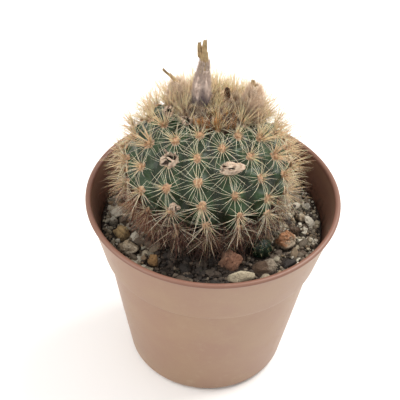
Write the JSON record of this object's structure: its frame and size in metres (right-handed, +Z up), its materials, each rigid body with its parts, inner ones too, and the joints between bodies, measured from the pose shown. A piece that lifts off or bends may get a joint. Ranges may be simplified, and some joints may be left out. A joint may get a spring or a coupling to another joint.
{
  "type": "potted frailea pumila",
  "caption": "Small globular cactus with tubercled ribs, straw spines, a woolly crown and withered flowers, growing in gritty soil in a tapered plastic nursery pot.",
  "frame": {"origin": "centre of the pot's foot ring, on the surface that the pot stands on", "axes": "+Z up through the pot, -Y towards the side seen in the picture, +X to the viewer's right"},
  "size_m": [0.055, 0.055, 0.082],
  "materials": {
    "pot_plastic": "satin moulded plastic",
    "soil_grit": "dark gritty mineral mix",
    "stone_orange": "rough, rust and chalk",
    "stone_brown": "rough",
    "stone_pale": "worn smooth",
    "stone_red": "rough",
    "stone_ochre": "rough",
    "stone_buff": "rough",
    "stone_grey": "rough",
    "stone_dark": "rough",
    "cactus_skin": "waxy living skin",
    "spine_straw": "dry translucent bristle",
    "areole_wool": "short wool",
    "crown_wool": "dry wool and bristle",
    "dried_flower": "withered and woolly",
    "husk_paper": "thin dry skin",
    "petal_brown": "curled and dry",
    "seedling_skin": "waxy living skin"
  },
  "bodies": {
    "root": {"pot": "pot_plastic", "soil": "soil_grit", "pebble_01": "stone_orange", "pebble_02": "stone_brown", "pebble_03": "stone_pale", "pebble_04": "stone_red", "pebble_05": "stone_ochre", "pebble_06": "stone_buff", "pebble_07": "stone_grey", "pebble_08": "stone_brown", "pebble_09": "stone_brown", "pebble_10": "stone_dark", "pebble_11": "stone_pale", "pebble_12": "stone_pale", "pebble_13": "stone_grey", "pebble_14": "stone_brown", "pebble_15": "stone_buff", "cactus_stem": "cactus_skin", "crown_wool": "crown_wool", "dried_flower_centre": "dried_flower", "dried_flower_right": "dried_flower", "dried_flower_left": "dried_flower", "fruit_husk_1": "husk_paper", "fruit_husk_2": "husk_paper", "fruit_husk_3": "husk_paper", "fruit_husk_4": "husk_paper", "fruit_husk_5": "husk_paper", "petal_scrap": "petal_brown", "seedling": "seedling_skin"}
  },
  "joints": []
}
